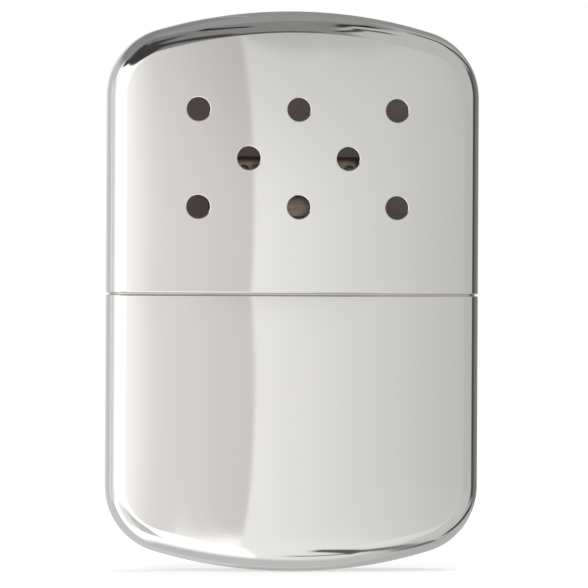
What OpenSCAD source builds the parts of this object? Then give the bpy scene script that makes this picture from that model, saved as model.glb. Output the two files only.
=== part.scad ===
// Catalytic pocket hand warmer: a drawn metal fuel tank packed with cotton, a clip-on
// catalytic burner on its filler neck, and a vented lid that pulls off upwards.
// It stands upright with its vented front towards -Y. The origin is on the ground under
// the lowest point of the tank. All sizes are in millimetres.

/* [Casing] */
// Width of the casing from rim to rim
body_w = 66; // [60:0.5:72]
// Height of the closed warmer
body_h = 98.1; // [92:0.1:108]
// Thickness at the crown of the faces
body_t = 15; // [13.5:0.25:17]
// Radius of the rounded rim that runs round the front and back faces
rim_r = 4.2; // [3.8:0.1:5]
// Radius of the curved top and bottom ends, seen from the front
end_r = 88; // [70:1:120]
// Radius of the four corners, seen from the front
corner_r = 12; // [10:0.5:16]
// Width of the flat strip down the middle of the front and back faces
land_w = 6; // [4:0.5:12]
// Sheet thickness of the lid and of the tank shell
shell_t = 0.5; // [0.4:0.05:0.7]
// Height of the joint line between the tank and the lid
seam_z = 48.5; // [44:0.1:52]
// Open gap that shows between the lid and the tank
seam_gap = 0.25; // [0.1:0.05:0.4]

/* [Vents] */
// Diameter of each air hole in the lid
vent_d = 4; // [3:0.1:5]
// Sideways distance between neighbouring holes of a row
vent_pitch_x = 17.5; // [16:0.1:19]
// Height between neighbouring rows
vent_pitch_z = 8.5; // [7.5:0.1:10]
// Distance from the top of the lid down to the first row
vent_drop = 17.4; // [15:0.1:20]

/* [Collar] */
// Sheet thickness of the collar that the lid slides over
collar_t = 0.5; // [0.4:0.05:0.7]
// Height of the collar above the joint line
collar_above = 7.6; // [6:0.1:9]
// Depth to which the collar is seated inside the tank shell
collar_below = 6; // [4:0.1:8]
// Radius of the collar's drawn shoulder
shoulder_r = 1.6; // [1.2:0.1:2]
// Clearance between the collar and the shells around it
slide_gap = 0.12; // [0.06:0.02:0.2]

/* [Filler neck] */
// Outside width of the oblong neck
neck_w = 25.6; // [22:0.2:27]
// Outside depth of the oblong neck
neck_d = 7.2; // [6.8:0.1:7.6]
// Wall thickness of the neck
neck_t = 0.6; // [0.5:0.05:0.8]
// Height of the neck above the shoulder
neck_h = 4.6; // [4:0.1:6]
// Width of the soldering flange under the shoulder
flange_w = 1.6; // [1:0.1:2.2]
// Height of the raised lip that the burner grips
lip_h = 0.9; // [0.6:0.1:1.2]
// How far that lip stands proud
lip_out = 0.1; // [0.05:0.01:0.14]
// Clearance between the neck and the hole in the shoulder, filled with solder
solder_gap = 0.05; // [0.02:0.01:0.1]

/* [Burner] */
// How far the cage stands out beyond each end of the neck
cage_over_w = 2.2; // [2:0.1:2.6]
// How far the cage stands out beyond each broad side of the neck
cage_over_d = 1.3; // [1.2:0.05:1.5]
// Height of the burner cage
cage_h = 10.6; // [9:0.1:12]
// Radius of the cage's drawn upper edge
cage_edge_r = 1.2; // [0.8:0.1:1.6]
// Sheet thickness of the burner parts
burner_t = 0.4; // [0.3:0.05:0.45]
// Height of the skirt that clips over the neck
skirt_h = 5.2; // [4.6:0.1:6]
// Clearance between the skirt and the neck
clip_gap = 0.2; // [0.16:0.02:0.24]
// Height of the upstand inside the cage
tray_h = 2.4; // [2.2:0.1:3]
// Width of each slot in the hood
slot_w = 1.7; // [1.2:0.1:2]
// Height of the slots in the broad faces
slot_h = 5.6; // [4:0.1:6.4]
// Number of slots in each broad face and in the roof
slot_count = 7; // [5:2:7]
// Distance between neighbouring slots
slot_pitch = 3.1; // [2.6:0.1:3.2]
// Number of slits on each side of the skirt, which part it into springy fingers
slit_count = 4; // [2:1:6]
// Diameter of the rivets that hold the cage to the base
rivet_d = 0.9; // [0.7:0.1:1.1]
// Diameter of their heads
rivet_head_d = 1.7; // [1.4:0.1:1.9]
// Height at which the burner sits above the shoulder
burner_seat = 0.3; // [0.2:0.05:0.5]

/* [Filling] */
// Gap left around the cotton
wad_gap = 0.35; // [0.2:0.05:0.6]
// Number of wads packed into the tank below the collar
wad_count = 2; // [1:1:4]
// Parting left between neighbouring wads
wad_parting = 0.3; // [0.1:0.1:0.6]

/* [Hidden] */
$fn = 48;
CUT = 1;            // how far a cutter runs past the face that it opens
RIM_STEPS = 6;      // steps in each quarter turn of the rounded rim
END_STEPS = 4;      // steps along an end arc, from the flat strip to a corner
CORNER_STEPS = 6;   // steps along a corner arc

// Colours of the real finishes
chrome = [0.82, 0.82, 0.83];
nickel = [0.70, 0.68, 0.63];
steel = [0.58, 0.57, 0.56];
cotton = [0.93, 0.91, 0.86];
felt = [0.86, 0.84, 0.78];
glass_fibre = [0.80, 0.79, 0.76];

// Each face falls away from its flat strip on an arc that runs smoothly into the round rims
crown_w = body_w / 2 - rim_r - land_w / 2;
crown_r = (pow(crown_w, 2) + pow(body_t / 2, 2) - pow(rim_r, 2)) / (body_t - 2 * rim_r);
// Angles from the vertical at which an end arc leaves the strip and meets a corner arc
land_lean = asin(land_w / 2 / (end_r - rim_r));
lean = asin((body_w / 2 - corner_r) / (end_r - corner_r));
// Distance from an end's apex to the level where its corners begin
corner_drop = end_r - (end_r - corner_r) * cos(lean);

lid_h = body_h - seam_z - seam_gap / 2;
tank_h = seam_z - seam_gap / 2;
collar_inset = shell_t + slide_gap;
collar_h = collar_below + collar_above;
shoulder_z = seam_z + collar_above;
neck_top_z = shoulder_z + neck_h;
skirt_z = shoulder_z + burner_seat;
tray_z = skirt_z + skirt_h;
cage_z = tray_z + burner_t;
cage_w = neck_w + 2 * cage_over_w;
cage_d = neck_d + 2 * cage_over_d;
tray_gap = 0.1;                                 // between the upstand and the cage round it
tray_w = cage_w - 2 * (burner_t + tray_gap);
tray_d = cage_d - 2 * (burner_t + tray_gap);
skirt_inner_w = neck_w + 2 * clip_gap;
skirt_inner_d = neck_d + 2 * clip_gap;

// Centres of the rim's rounding: [x, distance below the apex], from the middle to the side
half_stations = concat(
    [[0, rim_r]],
    [for (i = [0:END_STEPS - 1]) let (a = land_lean + (lean - land_lean) * i / END_STEPS)
        [(end_r - rim_r) * sin(a), end_r - (end_r - rim_r) * cos(a)]],
    [for (i = [0:CORNER_STEPS]) let (a = lean + (90 - lean) * i / CORNER_STEPS)
        [body_w / 2 - corner_r + (corner_r - rim_r) * sin(a),
         corner_drop - (corner_r - rim_r) * cos(a)]]);

// How far such a centre lies in front of the middle plane
function rim_y(x) =
    sqrt(pow(crown_r - rim_r, 2) - pow(max(x - land_w / 2, 0), 2)) - (crown_r - body_t / 2);

// Upright post from z = -tail to z = top, with its upper edge rounded by the radius edge
module rim_post(r, top, edge, tail = 0) {
    rotate_extrude($fn = 4 * RIM_STEPS)
        polygon(concat(
            [[0, top], [0, -tail], [r, -tail]],
            [for (i = [0:RIM_STEPS]) let (a = 90 * i / RIM_STEPS)
                [r - edge * (1 - cos(a)), top - edge * (1 - sin(a))]]
        ));
}

// Places its children at every rim station, with $drop as the distance below the apex.
// Only a curved end needs the middle station, and first = 1 leaves it out.
module at_rim_stations(first = 0) {
    for (i = [first:len(half_stations) - 1], left_right = [-1, 1], front_back = [-1, 1]) {
        x = half_stations[i][0];
        let ($drop = half_stations[i][1])
            translate([left_right * x, front_back * rim_y(x), 0])
                children();
    }
}

// Solid of one drawn cup: flat mouth at z = 0, curved end at z = depth, shrunk by inset
module cup_solid(depth, inset = 0, tail = 0) {
    r = rim_r - inset;
    hull()
        at_rim_stations()
            rim_post(r, depth - $drop + r, r, tail);
}

// Drawn sheet-metal cup of even thickness
module drawn_cup(depth) {
    difference() {
        cup_solid(depth);
        cup_solid(depth, inset = shell_t, tail = CUT);
    }
}

// Solid drum with the casing's oval section and a flat top with a rounded edge
module drum_solid(height, inset, edge = 0, tail = 0) {
    hull()
        at_rim_stations(first = 1)
            rim_post(rim_r - inset, height, edge, tail);
}

// Flat oblong with round ends, w wide along X and d deep along Y
module oblong(w, d) {
    square([w - d, d], center = true);
    for (side = [-1, 1])
        translate([side * (w - d) / 2, 0])
            circle(d = d);
}

// Upright oblong block
module oblong_block(w, d, h) {
    linear_extrude(height = h)
        oblong(w, d);
}

// Upright oblong tube, measured on the outside
module oblong_tube(w, d, h, wall) {
    linear_extrude(height = h)
        difference() {
            oblong(w, d);
            oblong(w - 2 * wall, d - 2 * wall);
        }
}

// Upright oblong block whose upper edge is rounded
module domed_oblong_block(w, d, h, edge) {
    module half_profile() {
        square([d / 2 - edge, h]);
        square([d / 2, h - edge]);
        translate([d / 2 - edge, h - edge])
            circle(r = edge);
    }
    rotate([90, 0, 90])
        linear_extrude(height = w - d, center = true) {
            half_profile();
            mirror([1, 0])
                half_profile();
        }
    for (side = [-1, 1])
        translate([side * (w - d) / 2, 0, 0])
            rotate([0, 0, side > 0 ? -90 : 90])
                rotate_extrude(angle = 180)
                    half_profile();
}

// Cutters for the air holes: rows of three, two and three through the front wall
module vent_cutters() {
    rows = [3, 2, 3];
    for (row = [0:len(rows) - 1], i = [0:rows[row] - 1])
        translate([
            (i - (rows[row] - 1) / 2) * vent_pitch_x,
            0,
            body_h - vent_drop - row * vent_pitch_z
        ])
            rotate([90, 0, 0])
                cylinder(d = vent_d, h = body_t);
}

module lid_shell() {
    color(chrome)
        difference() {
            translate([0, 0, body_h - lid_h])
                drawn_cup(lid_h);
            vent_cutters();
        }
}

module tank_shell() {
    color(chrome)
        translate([0, 0, tank_h])
            mirror([0, 0, 1])
                drawn_cup(tank_h);
}

// Inner cup, seated upside down in the tank: its wall guides the lid, its top is the shoulder
module tank_collar() {
    color(nickel)
        translate([0, 0, seam_z - collar_below])
            difference() {
                drum_solid(collar_h, collar_inset, shoulder_r);
                drum_solid(
                    collar_h - collar_t,
                    collar_inset + collar_t,
                    shoulder_r - collar_t,
                    tail = CUT
                );
                oblong_block(neck_w + 2 * solder_gap, neck_d + 2 * solder_gap, collar_h + CUT);
            }
}

// Neck with a flange soldered under the shoulder and a raised lip for the burner's grip
module filler_neck() {
    flange_d = neck_d + 2 * flange_w;
    color(nickel)
        difference() {
            union() {
                translate([0, 0, shoulder_z - collar_t - neck_t])
                    oblong_block(neck_w + 2 * flange_w, flange_d, neck_t);
                translate([0, 0, shoulder_z - collar_t - neck_t])
                    oblong_block(neck_w, neck_d, neck_top_z - shoulder_z + collar_t + neck_t);
                translate([0, 0, neck_top_z - lip_h])
                    domed_oblong_block(
                        neck_w + 2 * lip_out,
                        neck_d + 2 * lip_out,
                        lip_h,
                        neck_t / 2
                    );
            }
            translate([0, 0, shoulder_z - collar_t - neck_t - CUT])
                oblong_block(
                    neck_w - 2 * neck_t,
                    neck_d - 2 * neck_t,
                    neck_top_z - shoulder_z + collar_t + neck_t + 2 * CUT
                );
        }
}

// Felt plug in the neck, resting on the topmost wad
module neck_felt() {
    felt_gap = 0.1;
    recess = 0.8;
    color(felt)
        translate([0, 0, top_wad_z])
            oblong_block(
                neck_w - 2 * (neck_t + felt_gap),
                neck_d - 2 * (neck_t + felt_gap),
                neck_top_z - recess - top_wad_z
            );
}

// Absorbent cotton: one wad formed by the tank's end, flat ones above it, one in the collar
top_wad_z = shoulder_z - collar_t - neck_t - wad_gap;
wad_inset = shell_t + wad_gap;
collar_wad_inset = collar_inset + collar_t + wad_gap;
lower_top_z = seam_z - collar_below - wad_parting;
wad_step = (lower_top_z - wad_inset + wad_parting) / wad_count;

module cotton_wads() {
    color(cotton) {
        translate([0, 0, wad_inset + wad_step - wad_parting])
            mirror([0, 0, 1])
                cup_solid(wad_step - wad_parting + wad_inset, inset = wad_inset);
        for (i = [1:1:wad_count - 1])
            translate([0, 0, wad_inset + i * wad_step])
                drum_solid(wad_step - wad_parting, wad_inset);
        translate([0, 0, lower_top_z + wad_parting])
            drum_solid(top_wad_z - lower_top_z - wad_parting, collar_wad_inset);
    }
}

// Places its children at the four rivets, with their axis out of the cage's broad face.
// They sit at the ends of its straight stretch, through the cage and the upstand.
module at_rivets() {
    rivet_x = (cage_w - cage_d - rivet_head_d) / 2;
    for (left_right = [-1, 1], front_back = [0, 180])
        rotate([0, 0, front_back])
            translate([left_right * rivet_x, -cage_d / 2, cage_z + tray_h / 2])
                rotate([90, 0, 0])
                    children();
}

rivet_grip = 2 * burner_t + tray_gap;           // the two sheets and the gap between them
rivet_play = 0.02;                              // clearance round and under each rivet
rivet_head_h = 0.35;
rivet_tail_h = 0.25;

module rivet_holes() {
    at_rivets()
        translate([0, 0, -rivet_grip - CUT / 2])
            cylinder(d = rivet_d + 2 * rivet_play, h = rivet_grip + CUT);
}

module burner_rivets() {
    color(steel)
        at_rivets() {
            translate([0, 0, rivet_play])
                cylinder(d = rivet_head_d, h = rivet_head_h);
            translate([0, 0, -rivet_grip - rivet_play])
                cylinder(d = rivet_d, h = rivet_grip + 2 * rivet_play);
            translate([0, 0, -rivet_grip - rivet_play - rivet_tail_h])
                cylinder(d = rivet_head_d, h = rivet_tail_h);
        }
}

// Skirt that clips over the neck, step that rests above it, and upstand inside the cage
module burner_base() {
    slit_w = 0.6;
    slit_h = 3.4;
    slit_pitch = (neck_w - neck_d) / (slit_count - 1);
    floor_over_neck = 1;                        // how far the floor reaches in over the neck
    floor_w = (tray_d - neck_d) / 2 + floor_over_neck;
    color(nickel)
        difference() {
            union() {
                translate([0, 0, skirt_z])
                    oblong_tube(
                        skirt_inner_w + 2 * burner_t,
                        skirt_inner_d + 2 * burner_t,
                        skirt_h + burner_t,
                        burner_t
                    );
                translate([0, 0, tray_z])
                    oblong_tube(tray_w, tray_d, burner_t, floor_w);
                translate([0, 0, tray_z])
                    oblong_tube(tray_w, tray_d, burner_t + tray_h, burner_t);
            }
            for (i = [0:slit_count - 1])
                translate([
                    (i - (slit_count - 1) / 2) * slit_pitch - slit_w / 2,
                    -cage_d,
                    skirt_z - CUT
                ])
                    cube([slit_w, 2 * cage_d, slit_h + CUT]);
            rivet_holes();
        }
}

// Perforated plate that spreads the fuel vapour under the catalyst
module burner_screen() {
    screen_t = 0.3;
    hole_d = 1.3;
    hole_pitch = 2.4;
    columns = 9;
    color(steel)
        translate([0, 0, cage_z])
            difference() {
                oblong_block(
                    tray_w - 2 * (burner_t + tray_gap),
                    tray_d - 2 * (burner_t + tray_gap),
                    screen_t
                );
                for (row = [-1:1], i = [0:columns - 1])
                    translate([(i - (columns - 1) / 2) * hole_pitch, row * hole_pitch, -CUT])
                        cylinder(d = hole_d, h = screen_t + 2 * CUT);
            }
}

// Upright slot cutter with round ends, centred on the origin and running along Y
module slot_cutter(w, h, run) {
    rotate([90, 0, 0])
        translate([0, 0, -run / 2])
            linear_extrude(height = run)
                rotate(90)
                    oblong(h, w);
}

// Slotted hood over the catalyst
module burner_cage() {
    face_slot_z = cage_z + tray_h + (cage_h - tray_h - burner_t) / 2;
    color(nickel)
        difference() {
            translate([0, 0, cage_z])
                domed_oblong_block(cage_w, cage_d, cage_h, cage_edge_r);
            translate([0, 0, cage_z - CUT])
                domed_oblong_block(
                    cage_w - 2 * burner_t,
                    cage_d - 2 * burner_t,
                    cage_h - burner_t + CUT,
                    cage_edge_r - burner_t
                );
            for (i = [0:slot_count - 1])
                translate([(i - (slot_count - 1) / 2) * slot_pitch, 0, 0]) {
                    translate([0, 0, face_slot_z])
                        slot_cutter(slot_w, slot_h, cage_d + 2 * CUT);
                    translate([0, 0, cage_z + cage_h])
                        rotate([90, 0, 0])
                            slot_cutter(slot_w, slot_h, 2 * burner_t + 2 * CUT);
                }
            rivet_holes();
        }
}

// Pad of glass fibre that carries the catalyst
module catalyst_mat() {
    mat_gap = 0.35;
    rivet_room = 0.5;
    screen_room = 0.35;
    foot_w = tray_w - 2 * (burner_t + rivet_room);
    foot_d = tray_d - 2 * (burner_t + rivet_room);
    color(glass_fibre) {
        translate([0, 0, cage_z + screen_room])
            oblong_block(foot_w, foot_d, tray_h + mat_gap - screen_room + CUT);
        translate([0, 0, cage_z + tray_h + mat_gap])
            domed_oblong_block(
                cage_w - 2 * (burner_t + mat_gap),
                cage_d - 2 * (burner_t + mat_gap),
                cage_h - tray_h - burner_t - 2 * mat_gap,
                cage_edge_r - burner_t
            );
    }
}

lid_shell();
tank_shell();
tank_collar();
filler_neck();
neck_felt();
cotton_wads();
burner_base();
burner_screen();
burner_cage();
burner_rivets();
catalyst_mat();
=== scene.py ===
import math
from contextlib import contextmanager

import bmesh
import bpy
import numpy as np
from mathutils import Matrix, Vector, geometry


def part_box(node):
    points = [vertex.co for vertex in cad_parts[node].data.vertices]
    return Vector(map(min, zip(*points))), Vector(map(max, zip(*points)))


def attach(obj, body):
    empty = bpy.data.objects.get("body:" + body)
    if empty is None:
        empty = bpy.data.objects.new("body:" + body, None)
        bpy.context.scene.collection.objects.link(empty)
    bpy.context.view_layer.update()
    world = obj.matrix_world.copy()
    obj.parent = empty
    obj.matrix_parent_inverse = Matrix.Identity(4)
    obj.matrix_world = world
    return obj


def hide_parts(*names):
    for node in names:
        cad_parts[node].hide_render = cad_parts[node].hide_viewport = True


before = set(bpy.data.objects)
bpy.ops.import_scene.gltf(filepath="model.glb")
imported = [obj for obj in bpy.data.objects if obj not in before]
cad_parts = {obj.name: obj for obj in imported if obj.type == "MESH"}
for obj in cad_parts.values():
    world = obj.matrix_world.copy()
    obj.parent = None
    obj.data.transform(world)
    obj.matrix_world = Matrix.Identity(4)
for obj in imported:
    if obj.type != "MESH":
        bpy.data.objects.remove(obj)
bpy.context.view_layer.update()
mm = 0.001


def nodeBox(name):
    low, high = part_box(name)
    return low / mm, high / mm


# Sizes that every piece shares, in millimetres
lidLow, lidHigh = nodeBox("lid_shell")
tankHigh = nodeBox("tank_shell")[1]
collarLow, collarHigh = nodeBox("tank_collar")
neckLow, neckHigh = nodeBox("filler_neck")
baseLow, baseHigh = nodeBox("burner_base")
cageLow, cageHigh = nodeBox("burner_cage")

casing = {
    "halfWidth": lidHigh.x,
    "halfDepth": lidHigh.y,
    "rimRadius": 4.2,        # rounding from the faces into the sides
    "endRadius": 88.0,       # the slightly bowed top and bottom
    "cornerRadius": 12.0,
    "sheet": 0.5,
    "rollPower": 12,         # how suddenly the faces turn in at the end and at the mouth
    "curlPower": 24,
    "rowStep": 1.1,          # mesh spacing on the faces
    "edgeClear": 0.4,        # how far the mesh points keep from edges and from holes, in steps
    "holeClear": 0.35,
    "fanSteps": 14,
    "cornerSteps": 26,
    "lipSteps": 6,
}

crownRadius = (
    ((casing["halfWidth"] - casing["rimRadius"]) ** 2 + casing["halfDepth"] ** 2 - casing["rimRadius"] ** 2)
    / (2 * (casing["halfDepth"] - casing["rimRadius"]))
)
edgeX = (casing["halfWidth"] - casing["rimRadius"]) * crownRadius / (crownRadius - casing["rimRadius"])
endLean = math.asin(
    (casing["halfWidth"] - casing["cornerRadius"]) / (casing["endRadius"] - casing["cornerRadius"])
)
cornerDrop = casing["endRadius"] - (casing["endRadius"] - casing["cornerRadius"]) * math.cos(endLean)


def newObject(name, mesh):
    obj = bpy.data.objects.new(name, mesh)
    bpy.context.scene.collection.objects.link(obj)
    return obj


def unit(v):
    v = np.asarray(v, float)
    return v / np.linalg.norm(v, axis=-1, keepdims=True)


def turnBetween(a, b, share):
    # direction on the arc from a to b
    angle = math.acos(max(-1.0, min(1.0, float(np.dot(a, b)))))
    if angle < 1e-6:
        return a
    return (math.sin((1 - share) * angle) * a + math.sin(share * angle) * b) / math.sin(angle)


def ringEdges(rings):
    # closed rings of points as one list of points and one of edges
    points, edges = [], []
    for ring in rings:
        edges += [(len(points) + i, len(points) + (i + 1) % len(ring)) for i in range(len(ring))]
        points += ring
    return points, edges


def gridFaces(rows, columns, closed=False):
    wrap = rows if closed else rows - 1
    return [
        (i * columns + j, i * columns + j + 1, (i + 1) % rows * columns + j + 1, (i + 1) % rows * columns + j)
        for i in range(wrap) for j in range(columns - 1)
    ]


@contextmanager
def editing(mesh):
    bm = bmesh.new()
    bm.from_mesh(mesh)
    yield bm
    bm.to_mesh(mesh)
    bm.free()


def weld(bm, distance=0.001):
    # merges doubles, turns the faces outward and counts the edges that stay open
    bmesh.ops.remove_doubles(bm, verts=bm.verts, dist=distance * mm)
    bmesh.ops.dissolve_degenerate(bm, edges=bm.edges, dist=distance * mm)
    bmesh.ops.recalc_face_normals(bm, faces=bm.faces)
    return sum(1 for e in bm.edges if not e.is_manifold)


def weldSheets(name, sheets):
    # sheets are (points in mm, surface normals, faces, material index); they become one closed mesh
    points, shade = (np.concatenate([np.asarray(sheet[k], float) for sheet in sheets]) for k in (0, 1))
    faces, finish, start = [], [], 0
    for spots, _, loops, index in sheets:
        faces += [tuple(start + k for k in loop) for loop in loops]
        finish += [index] * len(loops)
        start += len(spots)
    mesh = bpy.data.meshes.new(name)
    mesh.from_pydata([tuple(p) for p in points * mm], [], faces)
    mesh.polygons.foreach_set("material_index", finish)
    layer = mesh.attributes.new("shade", "FLOAT_VECTOR", "POINT")
    layer.data.foreach_set("vector", shade.astype(np.float32).ravel())
    with editing(mesh) as bm:
        openEdges = weld(bm, 0.002)
        if bm.calc_volume(signed=True) < 0:
            bmesh.ops.reverse_faces(bm, faces=bm.faces)
    mesh.shade_smooth()
    shade = np.zeros(len(mesh.vertices) * 3, np.float32)
    mesh.attributes["shade"].data.foreach_get("vector", shade)
    mesh.normals_split_custom_set_from_vertices([tuple(n) for n in shade.reshape(-1, 3)])
    mesh.attributes.remove(mesh.attributes["shade"])
    print(name, len(mesh.vertices), "points,", openEdges, "open edges")
    return mesh


def metres(sizes):
    # lengths in millimetres become metres; whole numbers are counts and stay
    return {label: value if isinstance(value, int) else value * mm for label, value in sizes.items()}


def startTree(name, sizes):
    # a tree with one named input for each size
    tree = bpy.data.node_groups.new(name, "GeometryNodeTree")
    tree.interface.new_socket("Geometry", in_out="INPUT", socket_type="NodeSocketGeometry")
    for label, value in sizes.items():
        kind = "NodeSocketInt" if isinstance(value, int) else "NodeSocketFloat"
        tree.interface.new_socket(label, in_out="INPUT", socket_type=kind).default_value = value
    tree.interface.new_socket("Geometry", in_out="OUTPUT", socket_type="NodeSocketGeometry")
    return tree, tree.nodes.new("NodeGroupInput").outputs


def feed(tree, target, inputs):
    # sets each input of a node to a value, or links it to a socket, a node or each of a list of nodes
    for key, value in inputs.items():
        for one in value if isinstance(value, list) else [value]:
            if isinstance(one, bpy.types.Node):
                one = one.outputs[0]
            if isinstance(one, bpy.types.NodeSocket):
                tree.links.new(one, target.inputs[key])
            else:
                target.inputs[key].default_value = one


def node(tree, kind, inputs=None, **settings):
    made = tree.nodes.new(kind)
    for key, value in settings.items():
        setattr(made, key, value)
    feed(tree, made, inputs or {})
    return made


def maths(tree, operation, a, b=0.0):
    return node(tree, "ShaderNodeMath", {0: a, 1: b}, operation=operation)


def plus(tree, a, b):
    return maths(tree, "ADD", a, b)


def minus(tree, a, b):
    return maths(tree, "SUBTRACT", a, b)


def times(tree, a, b):
    return maths(tree, "MULTIPLY", a, b)


def place(tree, x=0.0, y=0.0, z=0.0):
    return node(tree, "ShaderNodeCombineXYZ", {0: x, 1: y, 2: z})


def endTree(tree, geometry, material):
    real = node(tree, "GeometryNodeRealizeInstances", {0: geometry})
    painted = node(tree, "GeometryNodeSetMaterial", {"Geometry": real})
    painted.inputs["Material"].default_value = material
    node(tree, "NodeGroupOutput", {0: painted})
    return tree


def baked(carrier, modifier):
    # the plain mesh that a modifier makes; its carrier goes
    mesh = bpy.data.meshes.new_from_object(carrier.evaluated_get(bpy.context.evaluated_depsgraph_get()))
    carrier.modifiers.remove(modifier)
    base = carrier.data
    bpy.data.objects.remove(carrier)
    bpy.data.meshes.remove(base)
    return mesh


def growMesh(name, tree, sizes, base):
    # evaluates a tree on a base mesh and returns the plain mesh
    carrier = newObject(name, base)
    modifier = carrier.modifiers.new(name, "NODES")
    modifier.node_group = tree
    sockets = {item.name: item.identifier for item in tree.interface.items_tree if item.in_out == "INPUT"}
    for label, value in sizes.items():
        modifier[sockets[label]] = value
    mesh = baked(carrier, modifier)
    # the base's empty material slot goes
    finish = mesh.materials[-1]
    mesh.materials.clear()
    mesh.materials.append(finish)
    mesh.polygons.foreach_set("material_index", [0] * len(mesh.polygons))
    mesh.name = name
    print(name, len(mesh.vertices), "points from", tree.name)
    return mesh


# The drawn form of the casing: h is the distance from the joint line towards the apex of the lid or the tank.

def bow(form, h):
    # the sheet bulges a little half way up, sinks towards its end and curls in at its mouth;
    # the second value is its slope
    q, n, m = h / form["height"], casing["rollPower"], casing["curlPower"]
    rise = form["bulge"] * q - form["sink"] * q ** 2 - form["roll"] * q ** n - form["curl"] * (1 - q) ** m
    slope = form["bulge"] - 2 * form["sink"] * q - n * form["roll"] * q ** (n - 1)
    return rise, (slope + m * form["curl"] * (1 - q) ** (m - 1)) / form["height"]


def crown(form, x, h):
    u = min(1.0, abs(x) / edgeX)
    swell = (1 - u * u) ** 2
    rise, climb = bow(form, h)
    y = math.sqrt(crownRadius ** 2 - x * x) - (crownRadius - casing["halfDepth"]) + rise * swell
    slopeX = -x / math.sqrt(crownRadius ** 2 - x * x) - rise * 4 * (1 - u * u) * x / edgeX ** 2
    return y, unit([-slopeX, 1, -climb * swell])


def rimStations(form):
    # x and h of the rounding's centre, and the outline's direction there
    r, corner, end = casing["rimRadius"], casing["cornerRadius"], casing["endRadius"]
    sideX = casing["halfWidth"] - r
    cornerX = casing["halfWidth"] - corner
    cornerH = form["height"] - cornerDrop
    sideSteps = max(2, round((cornerH - form["mouth"]) / casing["rowStep"]))
    stations = [
        (sideX, form["mouth"] + (cornerH - form["mouth"]) * i / sideSteps, math.pi / 2)
        for i in range(sideSteps)
    ]
    for i in range(casing["cornerSteps"]):
        a = math.pi / 2 + (endLean - math.pi / 2) * i / casing["cornerSteps"]
        stations.append((cornerX + (corner - r) * math.sin(a), cornerH + (corner - r) * math.cos(a), a))
    endSteps = round(endLean * end / casing["rowStep"])
    for i in range(endSteps + 1):
        a = endLean * (1 - i / endSteps)
        stations.append(((end - r) * math.sin(a), form["height"] - end + (end - r) * math.cos(a), a))
    return stations + [(-x, h, -a) for x, h, a in reversed(stations[:-1])]


def rimFan(form, station):
    # the rounding's section: from the face's edge to the outline
    x, h, a = station
    r = casing["rimRadius"]
    _, facing = crown(form, x * crownRadius / (crownRadius - r), h)
    footX, footH = x + r * facing[0], h + r * facing[2]
    footY, _ = crown(form, footX, footH)
    centre = np.array([x, max(0.0, footY - r * facing[1]), h])
    outward = np.array([math.sin(a), 0, math.cos(a)])
    normals = [turnBetween(facing, outward, j / casing["fanSteps"]) for j in range(casing["fanSteps"] + 1)]
    return [centre + r * n for n in normals], normals


def faceSheet(form, rimFoot, holes):
    # triangles over the face, with a ring of points round each air hole
    step, mouth = casing["rowStep"], form["mouth"]
    columns = round(2 * edgeX / step)
    mouthLine = [(-edgeX + 2 * edgeX * i / columns, mouth) for i in range(1, columns)]
    border = [(p[0], p[2]) for p in rimFoot] + mouthLine
    points, edges = ringEdges([border, *holes])
    centres = [np.mean(hole, axis=0) for hole in holes]
    holeRadius = math.dist(holes[0][0], centres[0]) if holes else 0
    poly = np.array(border)
    rows = int(form["height"] / step)
    for j in range(1, rows):
        for i in range(1, columns):
            x, h = -edgeX + 2 * edgeX * i / columns, mouth + step * j
            clear = all(math.dist((x, h), c) > holeRadius + casing["holeClear"] * step for c in centres)
            if clear and insideEdge(poly, x, h, casing["edgeClear"] * step):
                points.append((x, h))
    flat, _, faces, _, _, _ = geometry.delaunay_2d_cdt([Vector(p) for p in points], edges, [], 1, 1e-5)
    kept = []
    for f in faces:
        corners = [flat[i] for i in f]
        if not any(all(math.dist(corner, c) < holeRadius * 1.001 for corner in corners) for c in centres):
            kept.append(f)
    spots, normals = [], []
    for p in flat:
        y, n = crown(form, p.x, p.y)
        spots.append(np.array([p.x, y, p.y]))
        normals.append(n)
    return spots, normals, kept


def insideEdge(poly, x, h, margin):
    # within the outline, and at least margin from it
    a, b = poly, np.roll(poly, -1, axis=0)
    crossing = (a[:, 1] > h) != (b[:, 1] > h)
    run = np.where(crossing, b[:, 1] - a[:, 1], 1)
    at = a[:, 0] + (h - a[:, 1]) * (b[:, 0] - a[:, 0]) / run
    if np.sum(crossing & (at > x)) % 2 == 0:
        return False
    return float(np.min(np.hypot(poly[:, 0] - x, poly[:, 1] - h))) > margin


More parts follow.
